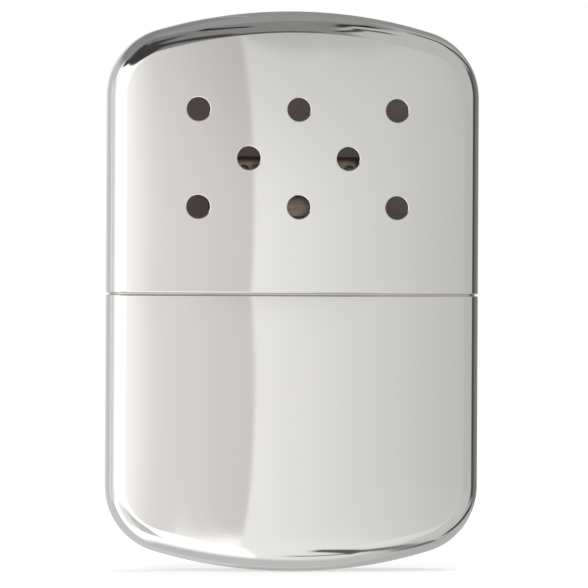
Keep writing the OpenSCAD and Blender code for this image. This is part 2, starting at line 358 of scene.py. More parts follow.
def turnTree():
    # turns a profile (X outward, Z up) round an oblong: a circle drawn apart by a straight stretch
    tree, given = startTree("turn round an oblong", {"Straight": 0.0, "Around": 48})
    count = node(tree, "GeometryNodeAttributeDomainSize", {0: given["Geometry"]}, component="MESH")
    rows = plus(tree, given["Around"], 3.0)
    grid = node(tree, "GeometryNodeMeshGrid", {"Vertices X": rows, "Vertices Y": count})
    index = node(tree, "GeometryNodeInputIndex")
    row = maths(tree, "FLOOR", maths(tree, "DIVIDE", plus(tree, index, 0.5), count))
    column = maths(tree, "FLOORED_MODULO", index, count)
    # the rows a quarter and three quarters round come twice, once at either end of the straight stretch
    quarter = times(tree, given["Around"], 0.25)
    threeQuarters = node(tree, "ShaderNodeMath", {0: quarter, 1: 3.0, 2: 1.5}, operation="MULTIPLY_ADD")
    pastFirst = maths(tree, "GREATER_THAN", row, plus(tree, quarter, 0.5))
    pastSecond = maths(tree, "GREATER_THAN", row, threeQuarters)
    step = minus(tree, minus(tree, row, pastFirst), pastSecond)
    turn = maths(tree, "DIVIDE", times(tree, step, 2 * math.pi), given["Around"])
    side = minus(tree, 0.5, minus(tree, pastFirst, pastSecond))
    profile = node(tree, "GeometryNodeSampleIndex", {"Geometry": given["Geometry"], "Index": column},
                   data_type="FLOAT_VECTOR", domain="POINT")
    feed(tree, profile, {"Value": node(tree, "GeometryNodeInputPosition")})
    spot = node(tree, "ShaderNodeSeparateXYZ", {0: profile})
    x = plus(tree, times(tree, spot, maths(tree, "COSINE", turn)), times(tree, side, given["Straight"]))
    y = times(tree, spot, maths(tree, "SINE", turn))
    moved = node(tree, "GeometryNodeSetPosition", {0: grid, "Position": place(tree, x, y, spot.outputs[2])})
    merged = node(tree, "GeometryNodeMergeByDistance", {0: moved, "Distance": 0.001 * mm})
    node(tree, "NodeGroupOutput", {0: merged})
    return tree


turning = turnTree()


def turned(tree, profile, straight, around):
    # the turning tree as a node inside another tree
    return node(tree, "GeometryNodeGroup", {"Geometry": profile, "Straight": straight, "Around": around},
                node_tree=turning)


def outline(name, points):
    # an open profile as a mesh of edges, from (outward, up) points in millimetres
    mesh = bpy.data.meshes.new(name)
    edges = [(i, i + 1) for i in range(len(points) - 1)]
    mesh.from_pydata([(x * mm, 0, z * mm) for x, z in points], edges, [])
    return mesh


def roundCorner(before, corner, after, radius, steps=6):
    # points of an arc that takes the place of one corner of a profile
    corner, before, after = (np.array(v, float) for v in (corner, before, after))
    a, b = unit(before - corner), unit(after - corner)
    half = math.acos(max(-1.0, min(1.0, float(a @ b)))) / 2
    centre = corner + unit(a + b) * radius / math.sin(half)
    start = corner + a * radius / math.tan(half) - centre
    end = corner + b * radius / math.tan(half) - centre
    ways = [turnBetween(start / radius, end / radius, i / steps) for i in range(steps + 1)]
    return [tuple(centre + radius * way) for way in ways]


def roundedProfile(corners):
    # corners are (outward, up) or (outward, up, radius)
    points = []
    for i, corner in enumerate(corners):
        if len(corner) == 3:
            after = corners[(i + 1) % len(corners)]
            points += roundCorner(corners[i - 1][:2], corner[:2], after[:2], corner[2])
        else:
            points.append(corner)
    return points


def turnedMesh(name, points, straight, material, around=48):
    # turns a profile of (outward, up) points round an oblong
    sizes = metres({"Straight": straight, "Around": around})
    tree, given = startTree(name + " turning", sizes)
    endTree(tree, turned(tree, given["Geometry"], given["Straight"], given["Around"]), material)
    return growMesh(name, tree, sizes, outline(name, points))


def finished(name, mesh, crease=35):
    # closes the seams, keeps creases sharper than the angle and makes the piece
    with editing(mesh) as bm:
        openEdges = weld(bm)
    mesh.shade_smooth()
    mesh.set_sharp_from_angle(angle=math.radians(crease))
    mesh.name = name
    print(name, len(mesh.polygons), "faces,", openEdges, "open edges")
    return newObject(name, mesh)


vents = {
    "Hole Radius": 2.0,
    "Edge Radius": 0.2,
    "Sheet": casing["sheet"],
    "Pitch": 17.5,           # between neighbours in a row
    "Row Pitch": 8.5,
    "Around": 48,
}
firstRowDrop = 17.4          # from the top of the lid to the first row


def ventTree(sizes, material):
    # rounded hole edges in rows of three, two and three, lying flat: Z is the depth into the sheet
    tree, given = startTree("air hole edges", sizes)
    edge = turned(tree, given["Geometry"], 0.0, given["Around"])
    grid = node(tree, "GeometryNodeMeshGrid", {
        "Size X": times(tree, given["Pitch"], 2.0), "Size Y": times(tree, given["Row Pitch"], 2.0),
        "Vertices X": 5, "Vertices Y": 3,
    })
    odd = maths(tree, "FLOORED_MODULO", node(tree, "GeometryNodeInputIndex"), 2.0)
    pattern = node(tree, "GeometryNodeInstanceOnPoints", {
        "Points": grid, "Selection": maths(tree, "LESS_THAN", odd, 0.5), "Instance": edge,
    })
    return endTree(tree, pattern, material)


def startMaterial(name, base, metallic, roughness):
    material = bpy.data.materials.new(name)
    material.use_nodes = True
    tree = material.node_tree
    surface = tree.nodes["Principled BSDF"]
    feed(tree, surface, {"Base Color": (*base, 1), "Metallic": metallic, "Roughness": roughness})
    return material, tree, surface


def objectPattern(tree, stretch=(1, 1, 1), **inputs):
    # noise on Object coordinates, in metres, drawn out by stretch
    where = node(tree, "ShaderNodeTexCoord")
    mapped = node(tree, "ShaderNodeMapping", {"Vector": where.outputs["Object"], "Scale": stretch})
    return node(tree, "ShaderNodeTexNoise", {"Vector": mapped, **inputs})


def span(tree, value, low, high, toLow, toHigh):
    return node(tree, "ShaderNodeMapRange", {
        "Value": value, "From Min": low, "From Max": high, "To Min": toLow, "To Max": toHigh,
    })


def blend(tree, share, first, second):
    return node(tree, "ShaderNodeMix", {0: share, 6: first, 7: second}, data_type="RGBA").outputs[2]


def relief(tree, height, strength, depth):
    return node(tree, "ShaderNodeBump", {"Height": height, "Strength": strength, "Distance": depth * mm})


def chromeMaterial():
    material, tree, surface = startMaterial("mirrorChrome", (0.84, 0.84, 0.835), 1.0, 0.05)
    smudge = objectPattern(tree, Scale=55.0, Detail=4.0, Roughness=0.6)
    feed(tree, surface, {"Roughness": span(tree, smudge, 0.35, 0.7, 0.045, 0.075)})
    return material


def insideMaterial():
    # dull and smoked: it hardly mirrors, and a faint painted glow (emission) stands in for the light that has
    # come in
    material, tree, surface = startMaterial("lidInside", (0.30, 0.265, 0.26), 0.7, 0.55)
    smoke = objectPattern(tree, Scale=90.0, Detail=5.0)
    feed(tree, surface, {
        "Roughness": span(tree, smoke, 0.3, 0.7, 0.48, 0.66),
        # painted light: this emission makes the inside glow as if lit, though it is no lamp
        "Emission Color": (0.045, 0.037, 0.035, 1), "Emission Strength": 1.0,
    })
    return material


def scuffedMaterial(name, base, rough, streaks, stain, stainScale=120.0):
    # metal with fine streaks, drawn out by the scales in streaks, and a tint that comes in patches
    material, tree, surface = startMaterial(name, base, 1.0, rough)
    grain = objectPattern(tree, stretch=streaks, Scale=1.0, Detail=6.0, Roughness=0.7)
    patches = objectPattern(tree, Scale=stainScale, Detail=5.0, Roughness=0.6)
    feed(tree, surface, {
        "Roughness": span(tree, grain, 0.3, 0.7, rough * 0.7, rough * 1.35),
        "Base Color": blend(tree, span(tree, patches, 0.38, 0.68, 0.0, 1.0), (*base, 1), (*stain, 1)),
        "Normal": relief(tree, grain, 0.12, 0.02),
    })
    return material


def fibreMaterial(name, light, dark, scale, depth, sheen):
    # matted fibres: fine stretched noise over softer clumps
    material, tree, surface = startMaterial(name, light, 0.0, 1.0)
    clumps = objectPattern(tree, Scale=scale, Detail=7.0, Roughness=0.75, Distortion=0.6)
    strands = objectPattern(tree, stretch=(1.0, 0.35, 0.6), Scale=scale * 7, Detail=4.0, Distortion=1.2)
    both = times(tree, clumps, plus(tree, strands, 0.5))
    feed(tree, surface, {
        "Sheen Weight": sheen,
        "Base Color": blend(tree, span(tree, both, 0.3, 0.62, 0.0, 1.0), (*dark, 1), (*light, 1)),
        "Normal": relief(tree, both, 0.6, depth),
    })
    return material


mirrorChrome = chromeMaterial()
lidInside = insideMaterial()
brightNickel = scuffedMaterial("brightNickel", (0.72, 0.70, 0.66), 0.2, (900, 900, 14), (0.66, 0.62, 0.56))
burnerMetal = scuffedMaterial("burnerMetal", (0.40, 0.35, 0.30), 0.42, (60, 60, 700),
                              (0.25, 0.19, 0.16), 160.0)
rivetSteel = scuffedMaterial("rivetSteel", (0.56, 0.53, 0.50), 0.34, (500, 500, 500),
                             (0.42, 0.36, 0.31), 700.0)
catalystFibre = fibreMaterial("catalystFibre", (0.50, 0.48, 0.45), (0.17, 0.16, 0.15), 700.0, 0.12, 0.2)
feltCloth = fibreMaterial("feltCloth", (0.84, 0.81, 0.74), (0.60, 0.57, 0.50), 500.0, 0.1, 0.4)
cottonWool = fibreMaterial("cottonWool", (0.93, 0.91, 0.86), (0.76, 0.73, 0.67), 260.0, 0.25, 0.5)


jointZ = (lidLow.z + tankHigh.z) / 2
jointGap = (lidLow.z - tankHigh.z) / 2
lidForm = {
    "height": lidHigh.z - jointZ,
    "mouth": jointGap + casing["sheet"] / 2,
    "bulge": 0.67,           # how far the middle of the face swells, and its end sinks
    "sink": 1.12,
    "roll": 0.12,
    "curl": 0.03,
}
tankForm = {
    "height": jointZ,
    "mouth": jointGap + casing["sheet"] / 2,
    "bulge": 0.96,
    "sink": 1.4,
    "roll": 0.16,
    "curl": 0.03,
}


def ventCentres(form):
    return [
        ((i - (count - 1) / 2) * vents["Pitch"], form["height"] - firstRowDrop - row * vents["Row Pitch"])
        for row, count in enumerate((3, 2, 3)) for i in range(count)
    ]


def ventEdges(form):
    # the node tree's flat hole edges, wrapped on the crown of the front face
    r, e, t = vents["Hole Radius"], vents["Edge Radius"], vents["Sheet"]
    profile = outline("air hole profile", roundedProfile([(r + e, 0), (r, 0, e), (r, t, e), (r + e, t)]))
    sizes = metres(vents)
    flat = growMesh("airHoleEdges", ventTree(sizes, mirrorChrome), sizes, profile)
    middle = form["height"] - firstRowDrop - vents["Row Pitch"]
    centres = np.array(ventCentres(form))
    points, normals = [], []
    for v in flat.vertices:
        x, h, depth = v.co.x / mm, v.co.y / mm + middle, v.co.z / mm
        own = centres[np.argmin(np.hypot(centres[:, 0] - x, centres[:, 1] - h))]
        out = np.array([x - own[0], 0, h - own[1]])
        y, facing = crown(form, x, h)
        lean = max(0.0, (e - depth) / e) - max(0.0, (depth - t + e) / e)
        side = -math.sqrt(max(0.0, 1 - lean ** 2))
        points.append(np.array([x, y, h]) - depth * facing)
        normals.append(unit(side * out / np.linalg.norm(out) + lean * facing))
    return points, normals, [tuple(p.vertices) for p in flat.polygons]


toFront = np.array([1, -1, 1])       # each face is worked out at the back and mirrored to the front


def mirrored(points):
    return [p * toFront for p in points]


def rimSheet(fans, roofSteps=3):
    # the strip round the rim, from the front face over the side to the back face
    points, normals = [], []
    for spots, facings in fans:
        across = [spots[-1] * np.array([1, 2 * i / roofSteps - 1, 1]) for i in range(1, roofSteps)]
        points += mirrored(spots) + across + spots[::-1]
        normals += mirrored(facings) + [facings[-1]] * len(across) + facings[::-1]
    return points, normals


def lipSheet(form, rim, rimNormals, columns):
    # the rounded lip round the mouth
    steps, t = round(2 * edgeX / casing["rowStep"]), casing["sheet"]
    back = []
    for i in range(1, steps):
        x = -edgeX + 2 * edgeX * i / steps
        y, n = crown(form, x, form["mouth"])
        back.append((np.array([x, y, form["mouth"]]), n))
    loop = [(p * toFront, n * toFront) for p, n in back] + list(zip(rim[:columns], rimNormals[:columns]))
    loop += back[::-1] + list(zip(rim[-columns:], rimNormals[-columns:]))[::-1]
    points, normals = [], []
    for p, n in loop:
        for j in range(casing["lipSteps"] + 1):
            a = math.pi * j / casing["lipSteps"]
            bend = math.cos(a) * n + math.sin(a) * np.array([0, 0, -1])
            points.append(p - t / 2 * n + t / 2 * bend)
            normals.append(bend)
    return points, normals, gridFaces(len(loop), casing["lipSteps"] + 1, closed=True), 0


def casingShell(name, form, upward, material, inner, pierced):
    fans = [rimFan(form, station) for station in rimStations(form)]
    rim, rimNormals = rimSheet(fans)
    columns = len(rim) // len(fans)
    foot = [points[0] for points, _ in fans]
    reach = vents["Hole Radius"] + vents["Edge Radius"]
    angles = [2 * math.pi * k / vents["Around"] for k in range(vents["Around"])]
    ring = [(reach * math.cos(a), reach * math.sin(a)) for a in angles]
    holes = [[(x + out, h + up) for out, up in ring] for x, h in ventCentres(form)]
    back = faceSheet(form, foot, [])
    front = faceSheet(form, foot, holes) if pierced else back
    outside = [
        (rim, rimNormals, gridFaces(len(fans), columns)),
        (mirrored(front[0]), mirrored(front[1]), front[2]),
        back,
    ]
    sheets = [(*sheet, 0) for sheet in outside]
    for points, normals, faces in outside:
        within = [p - casing["sheet"] * n for p, n in zip(points, normals)]
        sheets.append((within, [-n for n in normals], faces, 1))
    sheets.append(lipSheet(form, rim, rimNormals, columns))
    if pierced:
        points, normals, faces = ventEdges(form)
        sheets.append((mirrored(points), mirrored(normals), faces, 0))
    up = np.array([1, 1, 1 if upward else -1])
    mesh = weldSheets(name, [
        (np.array(points) * up + np.array([0, 0, jointZ]), np.array(normals) * up, faces, index)
        for points, normals, faces, index in sheets
    ])
    mesh.materials.append(material)
    mesh.materials.append(inner)
    return newObject(name, mesh)


lid = casingShell("lid", lidForm, True, mirrorChrome, lidInside, True)
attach(lid, "lid")
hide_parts("lid_shell")
tank = casingShell("tank", tankForm, False, mirrorChrome, lidInside, False)
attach(tank, "tank")
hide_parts("tank_shell")
print("casing done")


collar = {
    "inset": lidHigh.x - collarHigh.x,
    "sheet": 0.5,
    "shoulderRadius": 1.6,
    "shoulderSteps": 8,
    "wallSteps": 8,
    "plateStep": 1.5,
    "neckClearance": 0.05,
}
neck = {
    "wall": 0.6,
    "flange": 1.6,
    "lip": 0.9,
    "lipOut": 0.1,
    "lipSlope": 0.35,        # height over which the lip runs back to the wall
    "edgeRound": 0.12,
    "bendRound": 0.25,
    "lipRound": 0.3,
    "rimRound": 0.34,        # the lip's outer edge, over which the burner slides
    "rootRound": 0.4,
}
neck["depth"] = neckHigh.y - neckLow.y - 2 * neck["flange"]
neck["straight"] = (neckHigh.x - neckLow.x) - (neckHigh.y - neckLow.y)
neck["width"] = neck["straight"] + neck["depth"]
plainForm = {"height": lidForm["height"], "mouth": 0.0, "bulge": 0.0, "sink": 0.0, "roll": 0.0, "curl": 0.0}


def casingSection():
    # points and directions round the casing's section, level with the joint
    across = round(2 * edgeX / casing["rowStep"])
    points, normals = [], []
    for i in range(across + 1):
        x = -edgeX + 2 * edgeX * i / across
        y, n = crown(plainForm, x, 0.0)
        points.append([x, -y])
        normals.append([n[0], -n[1]])
    sideX = casing["halfWidth"] - casing["rimRadius"]
    start, steps = math.atan2(normals[-1][1], normals[-1][0]), 2 * casing["fanSteps"]
    for i in range(1, steps):
        a = start * (1 - 2 * i / steps)
        points.append([sideX + casing["rimRadius"] * math.cos(a), casing["rimRadius"] * math.sin(a)])
        normals.append([math.cos(a), math.sin(a)])
    points, normals = np.array(points), np.array(normals)
    return np.concatenate([points, -points]), np.concatenate([normals, -normals])


def oblongPoints(width, depth, around=48):
    straight = (width - depth) / 2
    points = []
    for side, first in ((1, -math.pi / 2), (-1, math.pi / 2)):
        for i in range(around // 2 + 1):
            a = first + math.pi * i / (around // 2)
            points.append((side * straight + depth / 2 * math.cos(a), depth / 2 * math.sin(a)))
    return points


def flatPlate(border, hole, step):
    # triangles between a border and a hole
    points, edges = ringEdges([border, hole])
    edgePoly, holePoly = np.array(border), np.array(hole)
    low, high = edgePoly.min(0), edgePoly.max(0)
    for i in range(1, int((high[0] - low[0]) / step)):
        for j in range(1, int((high[1] - low[1]) / step)):
            x, y = low[0] + i * step, low[1] + j * step
            far = np.min(np.hypot(holePoly[:, 0] - x, holePoly[:, 1] - y)) > step / 2
            if insideEdge(edgePoly, x, y, step / 2) and not insideEdge(holePoly, x, y, 0) and far:
                points.append((x, y))
    flat, _, faces, _, _, _ = geometry.delaunay_2d_cdt([Vector(p) for p in points], edges, [], 1, 1e-5)
    middles = [np.mean([flat[i] for i in f], axis=0) for f in faces]
    return flat, [f for f, m in zip(faces, middles) if not insideEdge(holePoly, m[0], m[1], 0)]


def makeCollar(collar, material):
    base, facing = casingSection()
    top, rho, t = collarHigh.z, collar["shoulderRadius"], collar["sheet"]
    lipTop = collarLow.z + t / 2
    lip = []                 # rows of inset, height, and the normal's outward and upward parts
    for i in range(casing["lipSteps"] + 1):
        a = math.pi * (1 - i / casing["lipSteps"])
        lip.append((t / 2 - t / 2 * math.cos(a), lipTop - t / 2 * math.sin(a), math.cos(a), -math.sin(a)))
    levels = [lipTop + (top - rho - lipTop) * i / collar["wallSteps"] for i in range(1, collar["wallSteps"])]
    outer = [(0, z, 1, 0) for z in levels]
    inner = [(t, z, -1, 0) for z in levels]
    for i in range(collar["shoulderSteps"] + 1):
        a = math.pi / 2 * i / collar["shoulderSteps"]
        out, up = math.cos(a), math.sin(a)
        outer.append((rho * (1 - out), top - rho + rho * up, out, up))
        inner.append((t + (rho - t) * (1 - out), top - rho + (rho - t) * up, -out, -up))
    profile = inner[::-1] + lip + outer
    points, normals = [], []
    for p, n in zip(base, facing):
        for inset, z, out, up in profile:
            spot = p - (collar["inset"] + inset) * n
            points.append([spot[0], spot[1], z])
            normals.append([n[0] * out, n[1] * out, up])
    sheets = [(points, normals, gridFaces(len(base), len(profile), closed=True), 0)]
    border = [tuple(p - (collar["inset"] + rho) * n) for p, n in zip(base, facing)]
    play = 2 * collar["neckClearance"]
    hole = oblongPoints(neck["width"] + play, neck["depth"] + play)
    plate, faces = flatPlate(border, hole, collar["plateStep"])
    for z, up in ((top, 1), (top - t, -1)):
        sheets.append(([[p.x, p.y, z] for p in plate], [[0, 0, up]] * len(plate), faces, 0))
    # the hole's own wall gets its own points, so that its corner stays crisp
    wall = [[x, y, z] for x, y in hole for z in (top, top - t)]
    upright = [[0, 0, 1], [0, 0, -1]] * len(hole)
    sheets.append((wall, upright, gridFaces(len(hole), 2, closed=True), 0))
    mesh = weldSheets("collar", sheets)
    mesh.materials.append(material)
    return newObject("collar", mesh)


def makeNeck(neck, material):
    inner, outer = neck["depth"] / 2 - neck["wall"], neck["depth"] / 2
    low, high = neckLow.z, neckHigh.z
    flangeTop, flangeEdge = low + neck["wall"], outer + neck["flange"]
    lipEdge, lipFoot = outer + neck["lipOut"], high - neck["lip"]
    points = roundedProfile([
        (inner, low + 1),    # the profile's seam
        (inner, high, neck["bendRound"]),
        (lipEdge, high, neck["rimRound"]),
        (lipEdge, lipFoot, neck["lipRound"]),
        (outer, lipFoot - neck["lipSlope"], neck["edgeRound"]),
        (outer, flangeTop, neck["bendRound"]),
        (flangeEdge, flangeTop, neck["edgeRound"]),
        (flangeEdge, low, neck["edgeRound"]),
        (inner, low, neck["rootRound"]),
    ])
    return finished("fillerNeck", turnedMesh("fillerNeck", points + points[:1], neck["straight"], material))


collarPiece = makeCollar(collar, brightNickel)
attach(collarPiece, "tank")
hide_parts("tank_collar")
neckPiece = makeNeck(neck, brightNickel)
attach(neckPiece, "tank")
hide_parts("filler_neck")
print("collar and neck done")


burner = {
    "sheet": 0.4,
    "clipGap": 0.2,          # between the skirt and the neck
    "trayGap": 0.1,          # between the upstand and the cage
    "edgeRadius": 1.2,       # drawn upper edge of the cage
    "flare": 0.3,            # the skirt's lower edge opens to find the neck
    "floorOverNeck": 1.0,
    "slitWidth": 0.6,
    "slitHeight": 3.4,
    "slitCount": 4,
    "slotWidth": 1.7,
    "slotHeight": 5.6,
    "slotPitch": 3.1,
    "slotCount": 7,
    "around": 64,
    "softEdge": 0.05,
    "edgeRound": 0.12,       # edges and bends of the sheet
    "bendRound": 0.25,
    "floorRound": 0.18,
    "skirtRound": 0.05,
    "flareHeight": 1.1,
    "flareRound": 0.8,
    "flareTip": 0.1,
}
burner["straight"] = (cageHigh.x - cageLow.x) - (cageHigh.y - cageLow.y)
burner["depth"] = cageHigh.y - cageLow.y
burner["trayTop"] = baseHigh.z


def slotCutters(tree, given, level, turn):
    # a row of round-ended cutters along X; turned, they run along Y or stand along Z
    corner = node(tree, "GeometryNodeInputIndex")
    reach = times(tree, corner, minus(tree, 3.0, corner))
    side = maths(tree, "SIGN", minus(tree, corner, 1.5))
    shape = place(tree, times(tree, reach, times(tree, given["Slot Width"], 0.25)), 0.0,
                  times(tree, side, times(tree, given["Run"], 0.5)))
    line = node(tree, "GeometryNodeMeshLine", {"Count": 4})
    profile = node(tree, "GeometryNodeSetPosition", {0: line, "Position": shape})
    prism = turned(tree, profile, minus(tree, given["Slot Height"], given["Slot Width"]), 24)
    half = times(tree, minus(tree, given["Slot Count"], 1.0), times(tree, given["Slot Pitch"], -0.5))
    row = node(tree, "GeometryNodeMeshLine", {
        "Count": given["Slot Count"], "Start Location": place(tree, half, 0.0, given[level]),
        "Offset": place(tree, given["Slot Pitch"]),
    })
    return node(tree, "GeometryNodeInstanceOnPoints", {
        "Points": row, "Instance": prism, "Rotation": tuple(math.radians(a) for a in turn),
    })


def cutOut(tree, body, cutters, material):
    solid = node(tree, "GeometryNodeRealizeInstances", {0: cutters})
    cut = node(tree, "GeometryNodeMeshBoolean", {"Mesh 1": body, "Mesh 2": solid},
               operation="DIFFERENCE", solver="EXACT")
    return endTree(tree, cut, material)


def slottedTree(name, sizes, rows, material):
    # a turned sheet with rows of slots cut out of it
    tree, given = startTree(name, sizes)
    body = turned(tree, given["Geometry"], given["Straight"], given["Around"])
    cutters = [slotCutters(tree, given, level, turn) for level, turn in rows]
    return cutOut(tree, body, node(tree, "GeometryNodeJoinGeometry", {0: cutters}), material)


def softened(mesh, width):
    # breaks the sharp edges of a cut sheet
    carrier = newObject(mesh.name, mesh)
    bevel = carrier.modifiers.new("edges", "BEVEL")
    bevel.width = width * mm
    bevel.segments = 2
    bevel.limit_method = "ANGLE"
    bevel.angle_limit = math.radians(40)
    bevel.use_clamp_overlap = False
    return baked(carrier, bevel)


def slottedPiece(name, corners, sizes, rows, material):
    sizes = metres({"Straight": burner["straight"], "Around": burner["around"], **sizes})
    tree = slottedTree(name + " slots", sizes, rows, material)
    mesh = growMesh(name, tree, sizes, outline(name, roundedProfile(corners)))
    return finished(name, softened(mesh, burner["softEdge"]))


faceSlots, roofSlots = (90, -90, 0), (0, 0, 90)      # how the cutters are turned


def makeBase(burner, material):
    t, low, top = burner["sheet"], baseLow.z, burner["trayTop"]
    floor = cageLow.z - t
    skirt = neck["depth"] / 2 + burner["clipGap"]
    upstand = burner["depth"] / 2 - t - burner["trayGap"]
    ledge = neck["depth"] / 2 - burner["floorOverNeck"]
    edge, bend, flare = burner["edgeRound"], burner["bendRound"], burner["flare"]
    waist, curve, tip = low + burner["flareHeight"], burner["flareRound"], burner["flareTip"]
    seam = (skirt, low + 2.0)
    corners = [
        seam, (skirt, floor, bend), (ledge, floor, edge), (ledge, floor + t, edge),
        (upstand - t, floor + t, bend), (upstand - t, top, edge), (upstand, top, edge),
        (upstand, floor, burner["floorRound"]), (skirt + t, floor, burner["skirtRound"]),
        (skirt + t, waist, curve), (skirt + t + flare, low, tip), (skirt + flare, low, tip),
        (skirt, waist, curve), seam,
    ]
    sizes = {
        "Slot Width": burner["slitWidth"], "Slot Height": 2 * burner["slitHeight"],
        "Run": 2 * burner["depth"], "Slot Count": burner["slitCount"], "Level": low,
        "Slot Pitch": (neck["width"] - neck["depth"]) / (burner["slitCount"] - 1),
    }
    return slottedPiece("burnerBase", corners, sizes, [("Level", faceSlots)], material)


def makeCage(burner, material):
    t, low, top, half = burner["sheet"], cageLow.z, cageHigh.z, burner["depth"] / 2
    bend, edge = burner["edgeRadius"], burner["edgeRound"]
    corners = [(0, top), (half, top, bend), (half, low, edge), (half - t, low, edge),
               (half - t, top - t, bend - t), (0, top - t)]
    sizes = {
        "Slot Width": burner["slotWidth"], "Slot Height": burner["slotHeight"], "Run": burner["depth"] + 2,
        "Slot Count": burner["slotCount"], "Slot Pitch": burner["slotPitch"],
        "Face Level": (burner["trayTop"] + top - t) / 2, "Roof Level": top + burner["depth"] / 2,
    }
    rows = [("Face Level", faceSlots), ("Roof Level", roofSlots)]
    return slottedPiece("burnerCage", corners, sizes, rows, material)


basePiece = makeBase(burner, burnerMetal)
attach(basePiece, "burner")
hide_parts("burner_base")
cagePiece = makeCage(burner, burnerMetal)
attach(cagePiece, "burner")
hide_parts("burner_cage")
print("burner done")


rivets = {
    "headRadius": 0.85,
    "headHeight": 0.35,
    "domeFoot": 0.08,        # straight part of the head under its dome
    "shankRadius": 0.45,
    "tailHeight": 0.25,
    "tailTaper": (0.9, 0.7), # the tail's foot and end, as shares of the head
    "grip": 0.9,             # the two sheets and the gap between them
    "play": 0.02,
    "around": 24,
}


def rivetTree(sizes, material):
    # one rivet on each corner of an upright pair of rows, with its head outwards
    tree, given = startTree("rivets", sizes)
    rivet = turned(tree, given["Geometry"], 0.0, given["Around"])
    grid = node(tree, "GeometryNodeMeshGrid", {
        "Size X": given["Span X"], "Size Y": given["Depth"], "Vertices X": 2, "Vertices Y": 2,
    })
    spots = node(tree, "GeometryNodeSetPosition", {0: grid, "Offset": place(tree, z=given["Level"])})
    where = node(tree, "ShaderNodeSeparateXYZ", {0: node(tree, "GeometryNodeInputPosition")})
    tilt = times(tree, maths(tree, "SIGN", where.outputs[1]), -math.pi / 2)
    row = node(tree, "GeometryNodeInstanceOnPoints",
               {"Points": spots, "Instance": rivet, "Rotation": place(tree, tilt)})
    return endTree(tree, row, material)


def makeRivets(rivets, material):
    head, shank, tail = rivets["headRadius"], rivets["shankRadius"], rivets["tailHeight"]
    foot, down, play = rivets["domeFoot"], -rivets["grip"], rivets["play"]
    angles = [math.pi / 2 * i / 8 for i in range(9)]
    dome = [(head * math.sin(a), foot + (rivets["headHeight"] - foot) * math.cos(a)) for a in angles]
    wide, narrow = (head * share for share in rivets["tailTaper"])
    corners = dome + [(head, play), (shank, play), (shank, down - play), (wide, down - play, 0.06),
                      (narrow, down - tail, 0.1), (0, down - tail)]
    sizes = metres({
        "Span X": burner["straight"] - 2 * head, "Depth": burner["depth"],
        "Level": (cageLow.z + burner["trayTop"]) / 2, "Around": rivets["around"],
    })
    profile = outline("rivet", roundedProfile(corners))
    return finished("burnerRivets", growMesh("burnerRivets", rivetTree(sizes, material), sizes, profile))


screen = {"holeRadius": 0.65, "holePitch": 2.4, "columns": 9, "rows": 3, "edgeRound": 0.06, "around": 48}


def screenTree(sizes, material):
    # a flat oblong plate with a grid of round holes
    tree, given = startTree("screen holes", sizes)
    body = turned(tree, given["Geometry"], given["Straight"], given["Around"])
    grid = node(tree, "GeometryNodeMeshGrid", {
        "Size X": times(tree, minus(tree, given["Columns"], 1.0), given["Hole Pitch"]),
        "Size Y": times(tree, minus(tree, given["Rows"], 1.0), given["Hole Pitch"]),
        "Vertices X": given["Columns"], "Vertices Y": given["Rows"],
    })
    spots = node(tree, "GeometryNodeSetPosition", {0: grid, "Offset": place(tree, z=given["Level"])})
    drill = node(tree, "GeometryNodeMeshCylinder", {
        "Vertices": 20, "Radius": given["Hole Radius"], "Depth": 2 * mm,
    })
    holes = node(tree, "GeometryNodeInstanceOnPoints", {"Points": spots, "Instance": drill})
    return cutOut(tree, body, holes, material)


def makeScreen(screen, material):
    low, high = nodeBox("burner_screen")
    half, edge = (high.y - low.y) / 2, screen["edgeRound"]
    sizes = metres({
        "Straight": burner["straight"], "Around": screen["around"], "Level": low.z,
        "Hole Radius": screen["holeRadius"], "Hole Pitch": screen["holePitch"],
        "Columns": screen["columns"], "Rows": screen["rows"],
    })
    corners = [(0, high.z), (half, high.z, edge), (half, low.z, edge), (0, low.z)]
    profile = outline("screen", roundedProfile(corners))
    return finished("burnerScreen", growMesh("burnerScreen", screenTree(sizes, material), sizes, profile))


rivetPiece = makeRivets(rivets, rivetSteel)
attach(rivetPiece, "burner")
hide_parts("burner_rivets")
screenPiece = makeScreen(screen, burnerMetal)
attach(screenPiece, "burner")
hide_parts("burner_screen")
print("rivets and screen done")


